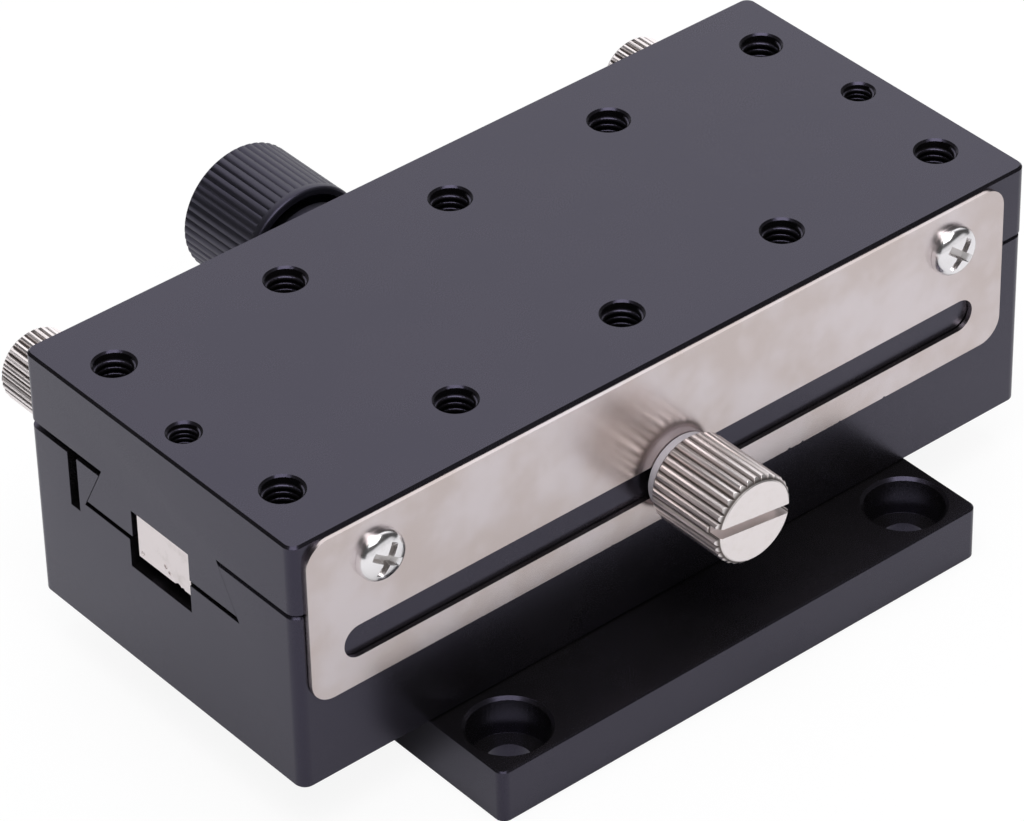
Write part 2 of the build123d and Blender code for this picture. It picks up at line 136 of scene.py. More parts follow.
def place(piece, location=(0, 0, 0), rotation=(0, 0, 0)):
    """Turn and move a piece, and write its place into its mesh."""
    only(piece)
    piece.rotation_euler = rotation
    piece.location = location
    bpy.ops.object.transform_apply(location=True, rotation=True, scale=True)
    return piece


def join(name, pieces):
    """Make one piece of several."""
    only(*pieces)
    bpy.ops.object.join()
    pieces[0].name = name
    return pieces[0]


def soften(piece, width, segments=2, angle=30, gap=0.002 * mm):
    """Break every sharp edge a little, as deburring and plating do, and keep flats flat."""
    weld(piece, gap)
    bpy.ops.object.shade_smooth()
    modify(
        piece, "BEVEL", width=width, segments=segments, limit_method="ANGLE",
        angle_limit=math.radians(angle), harden_normals=True,
    )
    return piece


def pick(piece, test):
    """Go into edit mode with only the faces selected whose centre and normal pass the test."""
    enter(piece, "FACE", "DESELECT")
    leave()
    for face in piece.data.polygons:
        face.select = test(face.center, face.normal)
    bpy.ops.object.mode_set(mode="EDIT")


def narrow(x_share, y_share):
    """Scale the selection in towards the Z axis."""
    bpy.ops.transform.resize(value=(x_share, y_share, 1), center_override=(0, 0, 0))


bodies = frame["record"]["behaviour"]["bodies"]
body_of = {node: body for body, nodes in bodies.items() for node in nodes}


def stand_in(piece, name, node, finish):
    """Let a finished piece stand for a CAD node, on the node's body."""
    piece.name = piece.data.name = name
    piece.data.materials.clear()
    piece.data.materials.append(finish)
    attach(piece, body_of[node])
    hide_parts(node)
    print(name, "faces", len(piece.data.polygons), "volume and open edges", volume(piece))


# %% [markdown]
# The camera stands in front of the stage's left end and looks down on it, as in the
# photograph. A long lens far away keeps the edges nearly parallel. Its place and its three
# angles are given, and the small shift keeps the picture's centre where it was.

# %% Camera
camera_place = Vector((-266.419, -322.178, 330.938)) * mm
camera_azimuth = math.radians(-39.3144)
camera_elevation = math.radians(37.0235)
camera_roll = math.radians(-1.3528)

flat_share = math.cos(camera_elevation)
back = Vector((
    math.sin(camera_azimuth) * flat_share,
    -math.cos(camera_azimuth) * flat_share,
    math.sin(camera_elevation),
))
right = Vector((0, 0, 1)).cross(back).normalized()
up = back.cross(right)
roll = Matrix.Rotation(camera_roll, 3, back)
axes = Matrix((roll @ right, roll @ up, back)).transposed()

lens = bpy.data.cameras.new("camera")
lens.sensor_width = 36
lens.lens = 191.685
lens.shift_x = -0.00517
lens.shift_y = 0.0007
lens.clip_start = 0.01
camera = bpy.data.objects.new("camera", lens)
camera.matrix_world = Matrix.Translation(camera_place) @ axes.to_4x4()
bpy.context.scene.collection.objects.link(camera)
bpy.context.scene.camera = camera
print("camera", [round(v, 4) for v in camera_place])

# %% [markdown]
# A pattern in a material is a sum of textures, masks and curves. Written as nodes it is
# hard to read, so one small class lets Python do the sums: every operator on a signal adds
# the Math node that does it.

# %% Shader sums
class Signal:
    """One output of a node, which can be added, subtracted and multiplied like a number."""

    def __init__(self, maker, socket):
        self.maker = maker
        self.socket = socket

    def math(self, operation, *values):
        """Add a Math node with these values."""
        settings = {"operation": operation}
        return self.maker.node("ShaderNodeMath", settings, dict(enumerate(values)))

    def __add__(self, other):
        return self.math("ADD", self, other)

    def __mul__(self, other):
        return self.math("MULTIPLY", self, other)

    def __sub__(self, other):
        return self.math("SUBTRACT", self, other)

    def __rsub__(self, other):
        return self.math("SUBTRACT", other, self)

    __radd__ = __add__
    __rmul__ = __mul__

    def fade(self, start, end):
        """Run smoothly from 0 at start to 1 at end."""
        settings = {"interpolation_type": "SMOOTHSTEP"}
        values = {"Value": self, "From Min": start, "From Max": end}
        return self.maker.node("ShaderNodeMapRange", settings, values)


class Nodes:
    """Adds nodes to a tree, which can be a material's or the world's."""

    def __init__(self, tree):
        self.tree = tree

    def node(self, kind, settings=None, values=None, output=0):
        """Add a node: first its settings, then the values or links of its sockets."""
        node = self.tree.nodes.new(kind)
        for name, value in (settings or {}).items():
            setattr(node, name, value)
        for name, value in (values or {}).items():
            self.feed(node.inputs[name], value)
        return Signal(self, node.outputs[output])

    def feed(self, socket, value):
        """Link a signal to a socket, or set the socket to a value."""
        if isinstance(value, Signal):
            self.tree.links.new(value.socket, socket)
        else:
            socket.default_value = value

    def mix(self, factor, first, second):
        """Blend two colours. The Mix node's colour sockets share their names with others, so
        they go by number.
        """
        values = {0: factor, 6: first, 7: second}
        return self.node("ShaderNodeMix", {"data_type": "RGBA"}, values, output=2)


class Finish(Nodes):
    """A material with one Principled shader, named after its slot in the record."""

    def __init__(self, name, **constants):
        self.material = bpy.data.materials.new(name + "_finish")
        self.material.use_nodes = True
        super().__init__(self.material.node_tree)
        self.shader = self.tree.nodes["Principled BSDF"]
        for socket, value in constants.items():
            self.shader.inputs[socket.replace("_", " ")].default_value = value

    def wire(self, **signals):
        """Feed signals to the Principled shader's sockets."""
        for name, value in signals.items():
            self.feed(self.shader.inputs[name.replace("_", " ")], value)
        return self.material

    def position(self, scale=(1, 1, 1), turn=(0, 0, 0)):
        """Object coordinates in millimetres, stretched and turned."""
        point = self.node("ShaderNodeTexCoord", output="Object")
        scale = tuple(share / mm for share in scale)
        values = {"Vector": point, "Rotation": turn, "Scale": scale}
        return self.node("ShaderNodeMapping", None, values)

    def noise(self, point, scale, detail=2.0, roughness=0.5):
        """Soft noise between 0 and 1, with about scale cells in a millimetre."""
        values = {"Vector": point, "Scale": scale, "Detail": detail, "Roughness": roughness}
        return self.node("ShaderNodeTexNoise", None, values)

    def distance(self, point, centre, along=(1, 1, 1)):
        """Distance from a centre in millimetres, measured along the axes that are 1."""
        offset = tuple(-value * share for value, share in zip(centre, along))
        values = {"Vector": point, "Location": offset, "Scale": along}
        centred = self.node("ShaderNodeMapping", None, values)
        return self.node("ShaderNodeVectorMath", {"operation": "LENGTH"}, {0: centred}, "Value")

    def bump(self, height, strength, distance):
        """A normal bent by a height, whose full size is distance."""
        values = {"Height": height, "Strength": strength, "Distance": distance}
        return self.node("ShaderNodeBump", None, values)


# %% [markdown]
# The blocks are aluminium with a black anodised skin. The skin is a hard, faintly blue-black
# oxide: almost no colour of its own and a satin gloss, so what one sees is mostly the room's
# reflection. A fine grain from the etching bath breaks that reflection up a little.

# %% Black anodised finishes
def anodised(name, colour, gloss, grain_depth):
    """A black skin with a violet gloss, a little paler in large soft clouds."""
    paler = 1.35
    finish = Finish(name, IOR=1.65, Specular_Tint=(0.72, 0.66, 1.0, 1))
    point = finish.position()
    cloud = finish.noise(point, 0.09, detail=3)
    grain = finish.noise(point, 9.0, detail=4, roughness=0.6)
    faded = tuple(value * paler for value in colour[:3]) + (1,)
    tint = finish.mix(cloud.fade(0.35, 0.7), colour, faded)
    roughness = gloss + (cloud - 0.5) * 0.06 + (grain - 0.5) * 0.05
    bumps = finish.bump(grain, 0.35, grain_depth)
    return finish.wire(Base_Color=tint, Roughness=roughness, Normal=bumps)


block_black = anodised("anodised_block", (0.0055, 0.005, 0.005, 1), 0.27, 0.004 * mm)
knob_black = anodised("anodised_knob", (0.006, 0.006, 0.007, 1), 0.4, 0.006 * mm)
print("finishes", block_black.name, knob_black.name)

# %% [markdown]
# The metals differ in how they were made. The sheet is rolled, so its grain runs along it
# and it has soft warm and cool clouds. The thumb screws are plated, and shade is painted
# into their grooves as a dark brown. The rack, the pinion and the bushes are cut from the bar
# and stained in patches. All are plain metal shaders whose colour and roughness follow such
# a pattern.

# %% Metal finishes
def rolled_sheet():
    """Satin stainless steel with a fine grain along X."""
    warm, cool, pale = (0.61, 0.53, 0.51, 1), (0.70, 0.635, 0.645, 1), (0.74, 0.67, 0.68, 1)
    finish = Finish("satin_stainless", Metallic=1.0)
    point = finish.position()
    cloud = finish.noise(point, 0.11, detail=4, roughness=0.55)
    patch = finish.noise(finish.position(turn=(0, 0.5, 0)), 0.3, detail=2)
    lines = finish.noise(finish.position(scale=(0.06, 1, 1)), 14.0, detail=3, roughness=0.65)
    tint = finish.mix(cloud.fade(0.38, 0.66), warm, cool)
    tint = finish.mix(patch.fade(0.5, 0.75) * 0.35, tint, pale)
    roughness = 0.24 + (lines - 0.5) * 0.10 + (cloud - 0.5) * 0.08
    bumps = finish.bump(lines, 0.2, 0.002 * mm)
    return finish.wire(Base_Color=tint, Roughness=roughness, Normal=bumps)


def stained_metal(name, colour, stain, gloss):
    """A cut metal with half-strong stains in small soft patches."""
    stain_share = 0.5
    finish = Finish(name, Metallic=1.0)
    point = finish.position()
    cloud = finish.noise(point, 0.55, detail=4, roughness=0.6)
    grain = finish.noise(point, 12.0, detail=3, roughness=0.6)
    tint = finish.mix(cloud.fade(0.5, 0.85) * stain_share, colour, stain)
    roughness = gloss + (cloud - 0.5) * 0.12 + (grain - 0.5) * 0.06
    bumps = finish.bump(grain, 0.2, 0.003 * mm)
    return finish.wire(Base_Color=tint, Roughness=roughness, Normal=bumps)


def knurled_nickel():
    """Nickel that is bright on the crests, with shade painted dark into the grooves of the thumb
    screws.

    A groove is told by its depth under the crests, in millimetres. What lies deeper than the
    grooves is the end face or the stud, and stays bright.
    """
    groove_top, groove_root, groove_end, past_groove = 0.12, 0.34, 0.4, 0.46
    # crest and worn are the nickel's own tones; the third colour is painted groove shade.
    crest, worn, groove_shade = (0.90, 0.84, 0.83, 1), (0.76, 0.69, 0.65, 1), (0.10, 0.08, 0.07, 1)
    finish = Finish("nickel_knurl", Metallic=1.0)
    point = finish.position()
    depths = []
    for node in ("clamp_screw", "lock_screw_left", "lock_screw_right"):
        low, high = (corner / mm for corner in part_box(node))
        centre = (low + high) / 2
        depths.append((high.x - low.x) / 2 - finish.distance(point, centre, (1, 0, 1)))
    clamp_depth, left_depth, right_depth = depths
    depth = clamp_depth.math(
        "MAXIMUM", clamp_depth, left_depth.math("MAXIMUM", left_depth, right_depth)
    )
    groove = depth.fade(groove_top, groove_root) * (1 - depth.fade(groove_end, past_groove))
    cloud = finish.noise(point, 0.9, detail=4, roughness=0.65)
    grain = finish.noise(finish.position(scale=(1, 0.35, 1)), 9.0, detail=4, roughness=0.7)
    tint = finish.mix(cloud.fade(0.45, 0.8) * 0.35, crest, worn)
    # Painted shade: the grooves are mixed towards a dark brown for the shade that falls in them.
    tint = finish.mix(groove * 0.9, tint, groove_shade)
    roughness = 0.36 + (grain - 0.5) * 0.2 + groove * 0.1
    bumps = finish.bump(grain, 0.35, 0.008 * mm)
    return finish.wire(Base_Color=tint, Roughness=roughness, Normal=bumps)


def chromed_screw():
    """Chrome with shade painted darker into the cross recesses.

    A recess is what lies near the head's axis and deeper than a sphere that follows the
    dome. Both are told in millimetres.
    """
    shallow, deep, recess_reach, past_recess = 0.06, 0.3, 2.1, 2.2
    # bright and dull are the chrome's own tones; the third colour is painted recess shade.
    bright, dull, recess_shade = (0.90, 0.88, 0.89, 1), (0.62, 0.58, 0.54, 1), (0.40, 0.37, 0.35, 1)
    finish = Finish("bright_screw", Metallic=1.0)
    point = finish.position()
    low, high = (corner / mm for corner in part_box("plate_screws"))
    face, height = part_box("slotted_plate")[0].y / mm, (low.z + high.z) / 2
    centre_y = face - (pan_height - pan_dome) / mm
    from_axis, from_centre = [], []
    for x in (low.x + pan_radius / mm, high.x - pan_radius / mm):
        from_axis.append(finish.distance(point, (x, 0, height), (1, 0, 1)))
        from_centre.append(finish.distance(point, (x, centre_y, height)))
    from_axis, from_centre = (pair[0].math("MINIMUM", *pair) for pair in (from_axis, from_centre))
    recess = (pan_dome / mm - from_centre).fade(shallow, deep)
    recess = recess * (1 - from_axis.fade(recess_reach, past_recess))
    cloud = finish.noise(point, 0.8, detail=4, roughness=0.6)
    tint = finish.mix(cloud.fade(0.5, 0.85) * 0.3, bright, dull)
    # Painted shade: the cross recesses are mixed towards a dark grey for the shade that falls in
    # them.
    tint = finish.mix(recess * 0.65, tint, recess_shade)
    return finish.wire(Base_Color=tint, Roughness=0.2 + (cloud - 0.5) * 0.12 + recess * 0.15)


pan_radius, pan_height, pan_dome = 2.6 * mm, 1.6 * mm, 4.4 * mm
sheet_steel = rolled_sheet()
nickel = knurled_nickel()
chrome = chromed_screw()
rack_steel = stained_metal("rack_steel", (0.82, 0.755, 0.75, 1), (0.45, 0.41, 0.37, 1), 0.38)
plain_steel = stained_metal("plain_steel", (0.60, 0.60, 0.60, 1), (0.45, 0.44, 0.43, 1), 0.25)
brass = stained_metal("pinion_brass", (0.78, 0.58, 0.27, 1), (0.50, 0.35, 0.16, 1), 0.28)
bronze = stained_metal("bush_bronze", (0.58, 0.38, 0.20, 1), (0.34, 0.22, 0.12, 1), 0.42)
print("metals", sheet_steel.name, nickel.name, chrome.name, rack_steel.name)

# %% [markdown]
# Two finishes are not bare metal: the black oxide of the small socket screws, and the
# nylon washer that keeps the thumb screw from scratching the sheet.

# %% Black oxide and nylon
def black_oxide():
    """Oiled black steel, browner where it has worn."""
    black, worn = (0.018, 0.018, 0.02, 1), (0.05, 0.045, 0.042, 1)
    finish = Finish("black_screw", IOR=1.6)
    cloud = finish.noise(finish.position(), 1.2, detail=4)
    tint = finish.mix(cloud.fade(0.4, 0.8), black, worn)
    return finish.wire(Base_Color=tint, Roughness=0.3 + (cloud - 0.5) * 0.2)


def moulded_nylon():
    """Pale lilac-grey nylon, faintly cloudy."""
    shade, light = (0.50, 0.47, 0.51, 1), (0.57, 0.54, 0.58, 1)
    finish = Finish("pale_nylon", IOR=1.5)
    cloud = finish.noise(finish.position(), 0.8, detail=3)
    tint = finish.mix(cloud, shade, light)
    return finish.wire(Base_Color=tint, Roughness=0.38 + (cloud - 0.5) * 0.1)


oxide = black_oxide()
nylon = moulded_nylon()
print("coatings", oxide.name, nylon.name)

# %% [markdown]
# The machined blocks keep the shape of their solids. A CAD mesh is loose triangles with
# razor edges, though, so each block is a copy whose triangles are merged into clean faces,
# and whose edges then get the narrow break that a machinist gives them. That break is what
# draws the thin bright lines along the edges of real parts.

# %% A dressed copy of a CAD node
def copy_of(node, name):
    """A copy of a CAD node whose loose triangles are joined into one closed skin."""
    piece = bpy.data.objects.new(name, frame["nodes"][node].data.copy())
    bpy.context.scene.collection.objects.link(piece)
    enter(piece)
    bpy.ops.mesh.customdata_custom_splitnormals_clear()
    bpy.ops.mesh.remove_doubles(threshold=touching)
    leave()
    return piece


def dress(piece, width, segments=2):
    """Join the triangles of each flat into one face, then break the edges."""
    enter(piece)
    bpy.ops.mesh.dissolve_limited(angle_limit=math.radians(0.4))
    leave()
    return soften(piece, width, segments)


def rod(radius, start, end, x=0, y=0, vertices=48):
    """A round bar along Z between two heights."""
    bpy.ops.mesh.primitive_cylinder_add(
        vertices=vertices, radius=radius, depth=end - start, location=(x, y, (start + end) / 2)
    )
    return place(bpy.context.object, bpy.context.object.location)


edge_break = 0.05 * mm
table_low, table_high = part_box("sliding_table")
body_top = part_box("guide_body")[1].z
plate_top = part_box("mounting_plate")[1].z
print("tops of table, body and plate", *(round(z, 4) for z in (table_high.z, body_top, plate_top)))

# %% [markdown]
# A tapped hole shows a countersunk mouth and, below it, the first turns of its thread. The
# solid has a plain hole as wide as the thread's crest. So the copy is bored out to the
# thread's root, and one ridge is wound round inside it: a small diamond turned by the Screw
# modifier, with its two ends closed.

# %% Threads
def thread(root, reach, pitch, turns):
    """A helical ridge about Z from height 0, reach deep on each side of its root radius."""
    flank_share, steps = 0.42, 28
    bpy.ops.mesh.primitive_circle_add(vertices=4, radius=1)
    ridge = bpy.context.object
    ridge.scale = (reach, flank_share * pitch, 1)
    place(ridge, (root, 0, 0), (math.pi / 2, 0, 0))
    modify(
        ridge, "SCREW", axis="Z", angle=math.tau, screw_offset=pitch, iterations=turns,
        steps=steps, render_steps=steps, use_normal_calculate=True,
    )
    enter(ridge)
    bpy.ops.mesh.fill_holes(sides=4)
    bpy.ops.mesh.select_all(action="SELECT")
    bpy.ops.mesh.normals_make_consistent(inside=False)
    leave()
    return ridge


def copy_at(piece, place_at):
    """A copy with its own mesh, moved."""
    twin = bpy.data.objects.new(piece.name, piece.data.copy())
    bpy.context.scene.collection.objects.link(twin)
    return place(twin, place_at)


# %% [markdown]
# The table has five pairs of M4 holes and an M3 hole near each end. Their places follow from
# the block's own box: the outer pairs stand 5 mm from the ends.

# %% Sliding table
m4_root, m4_reach, m4_pitch, m4_turns, m4_depth = 2.0 * mm, 0.35 * mm, 0.7 * mm, 10, 7.6 * mm
m3_root, m3_reach, m3_pitch, m3_turns, m3_depth = 1.52 * mm, 0.27 * mm, 0.5 * mm, 8, 4.4 * mm
slab_height, mouth_depth, bore_past = 7.7 * mm, 0.2 * mm, 0.5 * mm
columns, row = 5, 12.5 * mm
end_margin, rack_margin = 5 * mm, 3.5 * mm

first_column = table_low.x + end_margin
column_gap = (table_high.x - table_low.x - 2 * end_margin) / (columns - 1)
m4_places = [
    (first_column + n * column_gap, side * row) for n in range(columns) for side in (-1, 1)
]
m3_places = [(table_low.x + rack_margin, 0), (table_high.x - rack_margin, 0)]

table = copy_of("sliding_table", "table_block")
bore_start, bore_end = table_high.z - slab_height - bore_past, table_high.z - mouth_depth
bores = [rod(m4_root, bore_start, bore_end, x, y) for x, y in m4_places]
cut(table, join("bores", bores))
dress(table, edge_break)
stand_in(table, "table_block", "sliding_table", block_black)

m4_thread = thread(m4_root, m4_reach, m4_pitch, m4_turns)
m3_thread = thread(m3_root, m3_reach, m3_pitch, m3_turns)
m4_start, m3_start = table_high.z - m4_depth, table_high.z - m3_depth
threads = [copy_at(m4_thread, (x, y, m4_start)) for x, y in m4_places]
threads += [copy_at(m3_thread, (x, y, m3_start)) for x, y in m3_places]
for pattern in (m4_thread, m3_thread):
    bpy.data.objects.remove(pattern)
threads = join("table_threads", threads)
threads.data.materials.append(block_black)
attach(threads, "table")
print("threads", len(m4_places), "and", len(m3_places), "faces", len(threads.data.polygons))

# %% [markdown]
# The body and the mounting plate get the same treatment, and so does the collar that
# carries the drive. The saw cut of the spring gib, the dovetail and the counterbores are
# already in the solids; only the counterbores' chamfered mouths are added, with a cone each.

# %% Guide body, mounting plate and collar
def mouth(x, y):
    """A cone that chamfers a counterbore's mouth by 0.3 mm."""
    foot_radius, top_radius, height, sunk = 3.9 * mm, 4.5 * mm, 0.6 * mm, 0.1 * mm
    bpy.ops.mesh.primitive_cone_add(
        vertices=96, radius1=foot_radius, radius2=top_radius, depth=height,
        location=(x, y, plate_top - sunk),
    )
    return place(bpy.context.object, bpy.context.object.location)


hole_offset = 25 * mm
for node, name, finish in (
    ("guide_body", "guide_block", block_black),
    ("mounting_plate", "base_plate", block_black),
    ("bearing_collar", "collar", knob_black),
):
    block = copy_of(node, name)
    if name == "base_plate":
        corners = [(x * hole_offset, y * hole_offset) for x in (-1, 1) for y in (-1, 1)]
        cut(block, join("mouths", [mouth(x, y) for x, y in corners]))
    dress(block, edge_break)
    stand_in(block, name, node, finish)

# %% [markdown]
# The rack is a milled steel bar, seen only at its ends, where the saw left a few nicks. The
# sheet on the table's front was punched: its edges are rounded over, and the lower one has
# small dents.

# %% Rack and sheet
def nick(piece, dents):
    """Knock dents into a piece: each is its place and its radius, in millimetres."""
    balls = []
    for x, y, z, radius in dents:
        bpy.ops.mesh.primitive_ico_sphere_add(subdivisions=2, radius=radius * mm)
        balls.append(place(bpy.context.object, (x * mm, y * mm, z * mm)))
    return cut(piece, join("balls", balls))


rack_dents = (
    (-44.75, -0.4, 20.45, 0.26), (-44.75, -0.95, 20.0, 0.22), (-44.8, 3.1, 19.9, 0.26),
    (-44.9, -2.2, 19.1, 0.5), (-44.9, -2.9, 19.2, 0.3),
)
rack = nick(copy_of("gear_rack", "rack_bar"), rack_dents)
dress(rack, 0.06 * mm)
stand_in(rack, "rack_bar", "gear_rack", rack_steel)

sheet_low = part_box("slotted_plate")[0]
below_edge = 0.03
edge_dents = ((26.2, 0.16), (22.9, 0.1), (20.4, 0.14), (15.6, 0.17), (13.9, 0.2), (-8.3, 0.12))
sheet_dents = [
    (x, sheet_low.y / mm, sheet_low.z / mm - below_edge, radius) for x, radius in edge_dents
]
sheet = nick(copy_of("slotted_plate", "front_sheet"), sheet_dents)
dress(sheet, edge_break, segments=3)
stand_in(sheet, "front_sheet", "slotted_plate", sheet_steel)

# %% [markdown]
# The thumb screws are turned, then a knurling wheel presses grooves along them. The groove
# is made the same way here: a cylinder with four lines of points for each groove, of which
# the groove's own line is scaled in far towards the axis and its two neighbours a little.
# What it shares with a turned blank is the head, so the grooves run out through the blank's
# chamfered ends and leave the scalloped rim of the real screw.

# %% Knurled heads
lines_a_groove = 4
cut_gap = 0.02 * mm


def turned_blank(radius, length, outer_edge, inner_edge, sides=96, steps=4):
    """A turned blank along Z from 0 to length, its ends rounded, or chamfered with one step."""
    blank = rod(radius, 0, length, vertices=sides)
    for edge, end in ((outer_edge, length), (inner_edge, 0)):
        pick(blank, lambda centre, normal: abs(centre.z - end) < touching)
        bpy.ops.mesh.bevel(offset=edge, segments=steps, affect="EDGES")
        leave()
    return blank


def sink(head, line, depth, radius):
    """Sink one line of points of each groove towards the axis."""
    enter(head, action="DESELECT")
    leave()
    for vertex in head.data.vertices:
        vertex.select = vertex.index // 2 % lines_a_groove == line
    bpy.ops.object.mode_set(mode="EDIT")
    share = 1 - depth / radius
    narrow(share, share)
    leave()


def knurled(radius, depth, shoulder, grooves, length, outer_edge, inner_edge):
    """A straight-knurled head along Z, its outer end up, with rounded crests.

    The blank has as many sides as the knurl has points, so that their edges meet in points.
    """
    sides = lines_a_groove * grooves
    head = rod(radius, -length, 2 * length, vertices=sides)
    for line, line_depth in ((0, depth), (1, shoulder), (3, shoulder)):
        sink(head, line, line_depth, radius)
    blank_radius = radius * 1.01
    blank = turned_blank(blank_radius, length, outer_edge, inner_edge, sides, steps=1)
    return weld(cut(head, blank, "INTERSECT"), cut_gap)


def thumb_head(radius, grooves, length):
    """The head of a thumb screw; its wide outer chamfer is deeper than the grooves."""
    return knurled(
        radius, depth=0.37 * mm, shoulder=0.09 * mm, grooves=grooves, length=length,
        outer_edge=0.6 * mm, inner_edge=0.5 * mm,
    )


def box_cutter(size, location, turn=0.0):
    """A box turned about Z."""
    bpy.ops.mesh.primitive_cube_add(size=1)
    cutter = bpy.context.object
    cutter.scale = size
    return place(cutter, location, (0, 0, turn))


def thumb_stud(start):
    """The threaded M3 stud of a thumb screw, along Z from its tip up into the head."""
    core, reach, pitch, into_head = 1.25 * mm, 0.24 * mm, 0.5 * mm, 0.1 * mm
    turns = int((into_head - start) / pitch) - 1
    ridge = place(thread(core, reach, pitch, turns), (0, 0, start + pitch / 2))
    return join("stud", [rod(core, start, into_head), ridge])


head_break = 0.045 * mm

# %% [markdown]
# The clamp's thumb screw has a screwdriver slot across its end, and a nylon washer behind
# it. The screw's radius and place come from its node's box; its head is 9.5 mm long.

# %% Clamp screw and washer
clamp_low, clamp_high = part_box("clamp_screw")
clamp_radius = (clamp_high.x - clamp_low.x) / 2
clamp_height = (clamp_high.z + clamp_low.z) / 2
clamp_length = 9.5 * mm
clamp_base = clamp_low.y + clamp_length
towards_front, towards_rear = math.pi / 2, -math.pi / 2
slot_size, slot_turn = (14 * mm, 1.0 * mm, 3 * mm), math.radians(-8)

clamp = thumb_head(clamp_radius, 32, clamp_length)
print("clamp head", volume(clamp))
cut(clamp, box_cutter(slot_size, (0, 0, clamp_length), slot_turn))
print("with its slot", volume(clamp))
soften(clamp, head_break, gap=0.03 * mm)
stud = thumb_stud(clamp_base - clamp_high.y)
clamp = join("thumb_screw", [clamp, stud])
place(clamp, (0, clamp_base, clamp_height), (towards_front, 0, 0))
stand_in(clamp, "thumb_screw", "clamp_screw", nickel)

washer = dress(copy_of("clamp_washer", "nylon_washer"), 0.1 * mm, segments=3)
stand_in(washer, "nylon_washer", "clamp_washer", nylon)

# %% [markdown]
# Two plain thumb screws at the rear lock the table through the spring gib. They are the
# same kind of head, a little slimmer, on a longer threaded stud.

# %% Lock screws
lock_length = 10.8 * mm
for side, node in (("left", "lock_screw_left"), ("right", "lock_screw_right")):
    low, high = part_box(node)
    radius = (high.x - low.x) / 2
    head = soften(thumb_head(radius, 30, lock_length), head_break)
    stud_length = high.y - lock_length - low.y
    lock = join("lock", [head, thumb_stud(-stud_length)])
    head_base = ((high.x + low.x) / 2, high.y - lock_length, (high.z + low.z) / 2)
    place(lock, head_base, (towards_rear, 0, 0))
    stand_in(lock, f"lock_{side}", node, nickel)

# %% [markdown]
# The drive knob is an anodised cup with a hub inside, open towards the body. Its knurl stops
# at a smooth band round the mouth. It is built outer end up: the knurled part, then the
# band, then the ring-shaped recess and the shaft's bore from below.

# %% Drive knob
knob_low, knob_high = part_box("drive_knob")
knob_radius = (knob_high.x - knob_low.x) / 2
knob_length = knob_high.y - knob_low.y
knob_height = (knob_high.z + knob_low.z) / 2
band_length, rim, hub_radius, recess_depth = 1.3 * mm, 0.8 * mm, 4.2 * mm, 3.0 * mm
bore_radius, end_wall, over = 2.52 * mm, 1.85 * mm, 1 * mm

knurl_start = 0.6 * mm
knurl_radius = knob_radius - 0.02 * mm
knob = knurled(
    knurl_radius, depth=0.14 * mm, shoulder=0.03 * mm, grooves=48,
    length=knob_length - knurl_start, outer_edge=0.5 * mm, inner_edge=0.1 * mm,
)
place(knob, (0, 0, knurl_start))
band = turned_blank(knob_radius, band_length, outer_edge=0.5 * mm, inner_edge=0.4 * mm)
weld(cut(knob, band, "UNION"), cut_gap)
groove = rod(knob_radius - rim, -over, recess_depth, vertices=96)
cut(groove, rod(hub_radius, -2 * over, recess_depth + over, vertices=96))
cut(knob, groove)
cut(knob, rod(bore_radius, -over, knob_length - end_wall))
soften(knob, 0.06 * mm, angle=20, gap=cut_gap)
place(knob, (0, knob_low.y, knob_height), (towards_rear, 0, 0))
stand_in(knob, "knob", "drive_knob", knob_black)

# %% [markdown]
# Two pan-head screws hold the sheet. Each head is an upright rim whose top is raised ring by
# ring into a rounded shoulder and a low dome; each ring is a radius and a height in
# millimetres. A cross recess is cut with two bars that narrow as they go in. The two screws
# stopped at different angles when they were tightened.

# %% Pan-head screws
pan_low, pan_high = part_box("plate_screws")
pan_rim = 0.42 * mm
bar_size, bar_place = (4.4 * mm, 0.86 * mm, 1.0 * mm), (0, 0, pan_height - 0.4 * mm)
bar_foot_shares = (0.45, 0.75)
shank_radius, shank_length, into_head = 1.5 * mm, 5 * mm, 0.1 * mm
pan_rings = (
    (2.57, 0.62), (2.48, 0.83), (2.33, 1.03), (2.11, 1.21), (1.8, 1.36), (1.4, 1.47),
    (0.9, 1.55), (0.45, 1.59), (0.2, 1.6),
)


def pan_head(turn):
    """A pan head along Z with a cross recess, turned about its axis."""
    head = rod(pan_radius, 0, pan_rim, vertices=64)
    pick(head, lambda centre, normal: normal.z > 0.9)
    radius, top = pan_radius, pan_rim
    for ring_radius, ring_top in pan_rings:
        rise = (0, 0, ring_top * mm - top)
        bpy.ops.mesh.extrude_region_move(TRANSFORM_OT_translate={"value": rise})
        share = ring_radius * mm / radius
        narrow(share, share)
        radius, top = ring_radius * mm, ring_top * mm
    leave()
    for quarter in (0, 1):
        bar = box_cutter(bar_size, bar_place)
        pick(bar, lambda centre, normal: normal.z < -0.9)
        narrow(*bar_foot_shares)
        leave()
        cut(head, place(bar, rotation=(0, 0, turn + quarter * math.pi / 2)))
    return soften(head, 0.07 * mm, segments=3, gap=0.03 * mm)


screws = []
pan_middle = (pan_high.z + pan_low.z) / 2
for x, degrees in ((pan_low.x + pan_radius, -33), (pan_high.x - pan_radius, -39)):
    head = pan_head(math.radians(degrees))
    screw = join("screw", [head, rod(shank_radius, -shank_length, into_head)])
    screws.append(place(screw, (x, sheet_low.y, pan_middle), (towards_front, 0, 0)))
stand_in(join("pan_screws", screws), "pan_screws", "plate_screws", chrome)

# %% [markdown]
# The rest of the hardware is hidden or nearly so, and its solids already have their shape:
# these nodes stay and only get their finish.

# %% Finishes of the nodes that stay
kept = {
    "base_screws": oxide, "rack_screws": oxide, "gib_set_screws": oxide,
    "collar_set_screw": oxide, "knob_set_screw": oxide,
    "pinion": brass, "pinion_pin": plain_steel, "pinion_shaft": plain_steel,
    "thrust_washer": plain_steel,
    "front_bush": bronze, "rear_bush": bronze, "collar_bush": bronze,
}
for node, finish in kept.items():
    for material_slot in frame["nodes"][node].material_slots:
        material_slot.material = finish
print("kept nodes", len(kept))

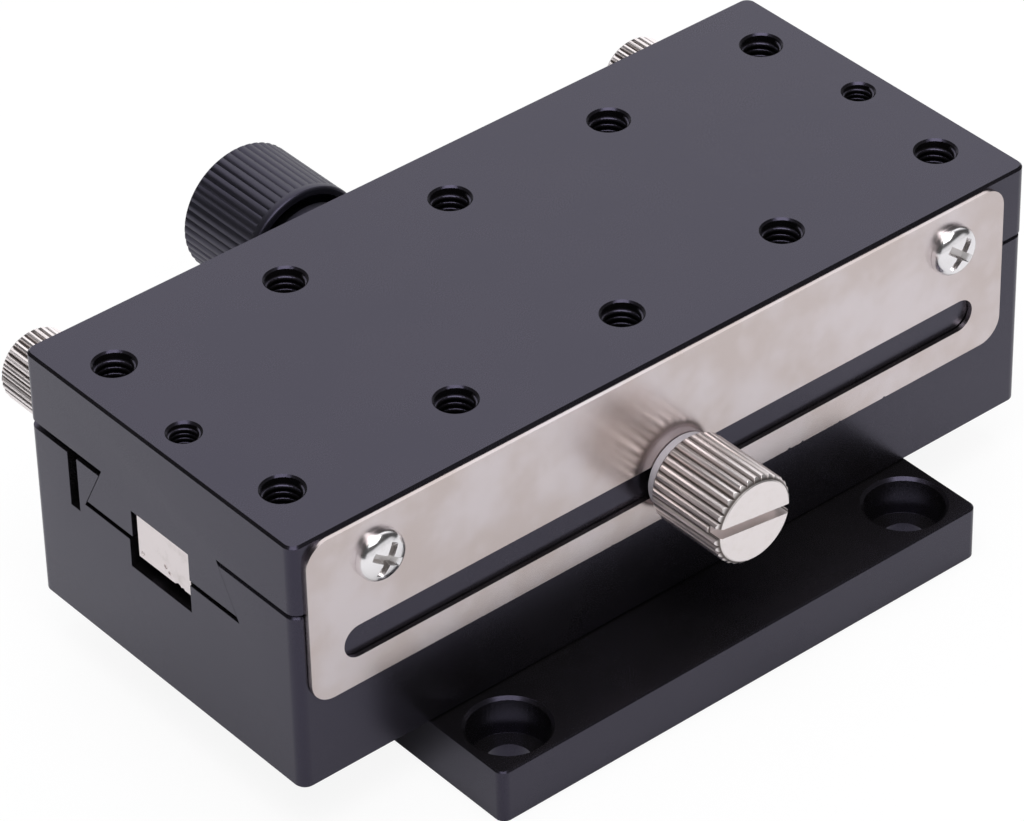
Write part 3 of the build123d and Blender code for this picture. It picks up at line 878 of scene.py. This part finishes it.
# %% [markdown]
# The studio is a white floor under a lamp and a wide soft window at the back right, which
# the table's top mirrors as a pale sheen. Low in front a paler cove lights the sheet and the
# screws. The rest stays dark, and the broken edges mirror that. The camera sees the floor
# almost and the world wholly as plain white, and mirrors see a little of that white.

# %% Floor, world and lights
bpy.context.scene.view_settings.view_transform = "Standard"


def mostly_white(nodes, seen, for_camera, for_mirrors):
    """Mix in plain white: much where the camera looks, a little for metal and glass."""
    white = nodes.node("ShaderNodeEmission", None, {"Color": (1, 1, 1, 1), "Strength": 1.03})
    kinds = ("Camera", "Glossy", "Transmission")
    camera_ray, glossy_ray, clear_ray = [
        nodes.node("ShaderNodeLightPath", output=f"Is {kind} Ray") for kind in kinds
    ]
    share = camera_ray * for_camera + (glossy_ray + clear_ray) * for_mirrors
    return nodes.node("ShaderNodeMixShader", None, {0: share, 1: seen, 2: white})


bpy.ops.mesh.primitive_plane_add(size=4)
floor = place(bpy.context.object, (0, 0, -0.05 * mm))
floor.name = "floor"
floor_paint = bpy.data.materials.new("floor_paint")
floor_paint.use_nodes = True
paint = Nodes(floor_paint.node_tree)
paint_output = paint.tree.nodes["Material Output"]
matt = paint.node("ShaderNodeBsdfDiffuse", None, {"Color": (0.86, 0.86, 0.87, 1)})
floor_shader = mostly_white(paint, matt, for_camera=0.88, for_mirrors=0.05)
paint.feed(paint_output.inputs["Surface"], floor_shader)
floor.data.materials.append(floor_paint)

world = bpy.data.worlds.new("studio")
bpy.context.scene.world = world
world.use_nodes = True
sky = Nodes(world.node_tree)
direction = sky.node("ShaderNodeTexCoord", output="Generated")
window_place = (0.52, 0.63, 0.58)
facing = sky.node(
    "ShaderNodeVectorMath", {"operation": "DOT_PRODUCT"}, {0: direction, 1: window_place}, "Value"
)
window = facing.fade(0.6, 0.88)
towards_back, upwards = [
    sky.node("ShaderNodeSeparateXYZ", None, {0: direction}, axis) for axis in ("Y", "Z")
]
cove = (-1 * towards_back).fade(0.4, 0.7) * (1 - upwards.fade(0.2, 0.45))
window_light, cove_light, rest_light = 1.2, 0.75, 0.04
light = window * window_light + cove * cove_light + rest_light
room = sky.node("ShaderNodeBackground", None, {"Color": (0.98, 0.98, 1.0, 1), "Strength": light})
sky_output = sky.tree.nodes["World Output"]
sky_shader = mostly_white(sky, room, for_camera=1.0, for_mirrors=0.02)
sky.feed(sky_output.inputs["Surface"], sky_shader)


def softbox(name, direction, distance, size, power):
    """A square lamp that faces the stage from a direction."""
    lamp = bpy.data.lights.new(name, "AREA")
    lamp.shape = "SQUARE"
    lamp.size = size
    lamp.energy = power
    holder = bpy.data.objects.new(name, lamp)
    towards = Vector(direction).normalized()
    holder.location = towards * distance
    holder.rotation_euler = towards.to_track_quat("Z", "Y").to_euler()
    bpy.context.scene.collection.objects.link(holder)


softbox("overhead", direction=(-0.2, -0.25, 1), distance=1.2, size=1.0, power=11.5)
